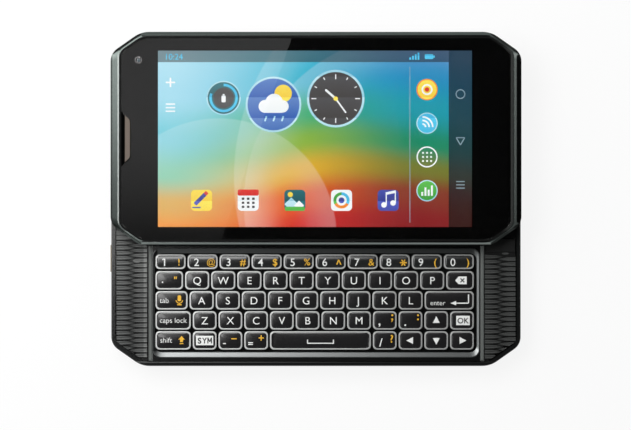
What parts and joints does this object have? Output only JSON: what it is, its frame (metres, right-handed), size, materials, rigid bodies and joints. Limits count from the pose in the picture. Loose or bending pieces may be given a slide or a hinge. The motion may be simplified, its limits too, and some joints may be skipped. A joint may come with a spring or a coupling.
{
  "type": "slider phone",
  "caption": "Mobile phone whose large touch screen slides up in landscape to uncover a full keyboard between ridged grips, held open or closed by snap springs.",
  "frame": {"origin": "on the flat back face, under the middle of the base half", "axes": "+X along the keyboard to the right, +Y the way the screen half opens, +Z out of the screen; the phone lies on its back, opened"},
  "size_m": [0.1272, 0.1033, 0.0137],
  "materials": {
    "soft_shell": "matte",
    "window_glass": "gloss",
    "flash_plastic": "gloss",
    "dark_mesh": "satin",
    "frame_metal": "satin",
    "deck_plastic": "satin",
    "grip_rubber": "matte",
    "trim_silver": "polished",
    "film": "satin",
    "mat_rubber": "matte",
    "key_plastic": "gloss",
    "board_laminate": "satin",
    "tinned_steel": "satin",
    "battery_wrap": "satin",
    "module_plastic": "matte",
    "bronze_cap": "satin",
    "button_plastic": "gloss",
    "slide_steel": "satin",
    "spring_steel": "polished",
    "flex_film": "satin",
    "back_metal": "satin",
    "side_plastic": "satin",
    "bezel_metal": "satin",
    "carrier_metal": "satin",
    "display_glass": "gloss",
    "touch_glass": "gloss",
    "bronze_mesh": "satin"
  },
  "bodies": {
    "base_half": {"rear_cover": "soft_shell", "camera_window": "window_glass", "flash_lens": "flash_plastic", "speaker_grille": "dark_mesh", "base_frame": "frame_metal", "keyboard_deck": "deck_plastic", "left_grip": "grip_rubber", "right_grip": "grip_rubber", "keyboard_trim": "trim_silver", "dome_sheet": "film", "key_mat": "mat_rubber", "main_board": "board_laminate", "shield_cans": "tinned_steel", "battery": "battery_wrap", "rear_camera": "module_plastic", "loudspeaker": "module_plastic", "vibration_motor": "tinned_steel", "headphone_jack": "module_plastic", "usb_socket": "tinned_steel", "hdmi_socket": "tinned_steel", "case_screws": "spring_steel", "slide_plate": "slide_steel", "slide_springs": "spring_steel", "flex_cable": "flex_film"},
    "display_half": {"display_back_cover": "back_metal", "display_frame": "side_plastic", "bezel_ring": "bezel_metal", "cover_glass": "touch_glass", "lcd_panel": "display_glass", "display_plate": "carrier_metal", "slide_rails": "slide_steel", "earpiece_grille": "bronze_mesh", "earpiece_receiver": "module_plastic", "front_camera": "module_plastic", "display_screws": "spring_steel"},
    "number_keys": {"number_keys": "key_plastic"},
    "quote_key": {"quote_key": "key_plastic"},
    "top_letter_keys": {"top_letter_keys": "key_plastic"},
    "backspace_key": {"backspace_key": "key_plastic"},
    "tab_key": {"tab_key": "key_plastic"},
    "home_letter_keys": {"home_letter_keys": "key_plastic"},
    "enter_key": {"enter_key": "key_plastic"},
    "caps_lock_key": {"caps_lock_key": "key_plastic"},
    "bottom_letter_keys": {"bottom_letter_keys": "key_plastic"},
    "comma_key": {"comma_key": "key_plastic"},
    "period_key": {"period_key": "key_plastic"},
    "up_key": {"up_key": "key_plastic"},
    "ok_key": {"ok_key": "key_plastic"},
    "shift_key": {"shift_key": "key_plastic"},
    "symbol_key": {"symbol_key": "key_plastic"},
    "minus_key": {"minus_key": "key_plastic"},
    "equals_key": {"equals_key": "key_plastic"},
    "space_key": {"space_key": "key_plastic"},
    "slash_key": {"slash_key": "key_plastic"},
    "left_key": {"left_key": "key_plastic"},
    "down_key": {"down_key": "key_plastic"},
    "right_key": {"right_key": "key_plastic"},
    "power_button": {"power_button": "bronze_cap"},
    "volume_rocker": {"volume_rocker": "button_plastic"},
    "camera_button": {"camera_button": "button_plastic"}
  },
  "joints": [
    {"name": "display_slide", "type": "slide", "parent": "base_half", "child": "display_half", "axis": [0, -1, 0], "range_m": [0, 0.0373], "deforming": ["slide_springs", "flex_cable"]},
    {"name": "number_keys_press", "type": "slide", "parent": "base_half", "child": "number_keys", "axis": [0, 0, -1], "range_m": [0, 0.00025], "stiffness_N_per_m": 2000},
    {"name": "quote_key_press", "type": "slide", "parent": "base_half", "child": "quote_key", "axis": [0, 0, -1], "range_m": [0, 0.00025], "stiffness_N_per_m": 2000},
    {"name": "top_letter_keys_press", "type": "slide", "parent": "base_half", "child": "top_letter_keys", "axis": [0, 0, -1], "range_m": [0, 0.00025], "stiffness_N_per_m": 2000},
    {"name": "backspace_key_press", "type": "slide", "parent": "base_half", "child": "backspace_key", "axis": [0, 0, -1], "range_m": [0, 0.00025], "stiffness_N_per_m": 2000},
    {"name": "tab_key_press", "type": "slide", "parent": "base_half", "child": "tab_key", "axis": [0, 0, -1], "range_m": [0, 0.00025], "stiffness_N_per_m": 2000},
    {"name": "home_letter_keys_press", "type": "slide", "parent": "base_half", "child": "home_letter_keys", "axis": [0, 0, -1], "range_m": [0, 0.00025], "stiffness_N_per_m": 2000},
    {"name": "enter_key_press", "type": "slide", "parent": "base_half", "child": "enter_key", "axis": [0, 0, -1], "range_m": [0, 0.00025], "stiffness_N_per_m": 2000},
    {"name": "caps_lock_key_press", "type": "slide", "parent": "base_half", "child": "caps_lock_key", "axis": [0, 0, -1], "range_m": [0, 0.00025], "stiffness_N_per_m": 2000},
    {"name": "bottom_letter_keys_press", "type": "slide", "parent": "base_half", "child": "bottom_letter_keys", "axis": [0, 0, -1], "range_m": [0, 0.00025], "stiffness_N_per_m": 2000},
    {"name": "comma_key_press", "type": "slide", "parent": "base_half", "child": "comma_key", "axis": [0, 0, -1], "range_m": [0, 0.00025], "stiffness_N_per_m": 2000},
    {"name": "period_key_press", "type": "slide", "parent": "base_half", "child": "period_key", "axis": [0, 0, -1], "range_m": [0, 0.00025], "stiffness_N_per_m": 2000},
    {"name": "up_key_press", "type": "slide", "parent": "base_half", "child": "up_key", "axis": [0, 0, -1], "range_m": [0, 0.00025], "stiffness_N_per_m": 2000},
    {"name": "ok_key_press", "type": "slide", "parent": "base_half", "child": "ok_key", "axis": [0, 0, -1], "range_m": [0, 0.00025], "stiffness_N_per_m": 2000},
    {"name": "shift_key_press", "type": "slide", "parent": "base_half", "child": "shift_key", "axis": [0, 0, -1], "range_m": [0, 0.00025], "stiffness_N_per_m": 2000},
    {"name": "symbol_key_press", "type": "slide", "parent": "base_half", "child": "symbol_key", "axis": [0, 0, -1], "range_m": [0, 0.00025], "stiffness_N_per_m": 2000},
    {"name": "minus_key_press", "type": "slide", "parent": "base_half", "child": "minus_key", "axis": [0, 0, -1], "range_m": [0, 0.00025], "stiffness_N_per_m": 2000},
    {"name": "equals_key_press", "type": "slide", "parent": "base_half", "child": "equals_key", "axis": [0, 0, -1], "range_m": [0, 0.00025], "stiffness_N_per_m": 2000},
    {"name": "space_key_press", "type": "slide", "parent": "base_half", "child": "space_key", "axis": [0, 0, -1], "range_m": [0, 0.00025], "stiffness_N_per_m": 2000},
    {"name": "slash_key_press", "type": "slide", "parent": "base_half", "child": "slash_key", "axis": [0, 0, -1], "range_m": [0, 0.00025], "stiffness_N_per_m": 2000},
    {"name": "left_key_press", "type": "slide", "parent": "base_half", "child": "left_key", "axis": [0, 0, -1], "range_m": [0, 0.00025], "stiffness_N_per_m": 2000},
    {"name": "down_key_press", "type": "slide", "parent": "base_half", "child": "down_key", "axis": [0, 0, -1], "range_m": [0, 0.00025], "stiffness_N_per_m": 2000},
    {"name": "right_key_press", "type": "slide", "parent": "base_half", "child": "right_key", "axis": [0, 0, -1], "range_m": [0, 0.00025], "stiffness_N_per_m": 2000},
    {"name": "power_button_press", "type": "slide", "parent": "base_half", "child": "power_button", "axis": [1, 0, 0], "range_m": [0, 0.00025], "stiffness_N_per_m": 4000},
    {"name": "camera_button_press", "type": "slide", "parent": "base_half", "child": "camera_button", "axis": [0, -1, 0], "range_m": [0, 0.00025], "stiffness_N_per_m": 4000},
    {"name": "volume_rocker_tilt", "type": "hinge", "parent": "base_half", "child": "volume_rocker", "pos_m": [-0.025, 0.032, 0.0028], "axis": [0, 0, 1], "range_deg": [-1.4, 1.4], "stiffness_Nm_per_rad": 0.5}
  ]
}
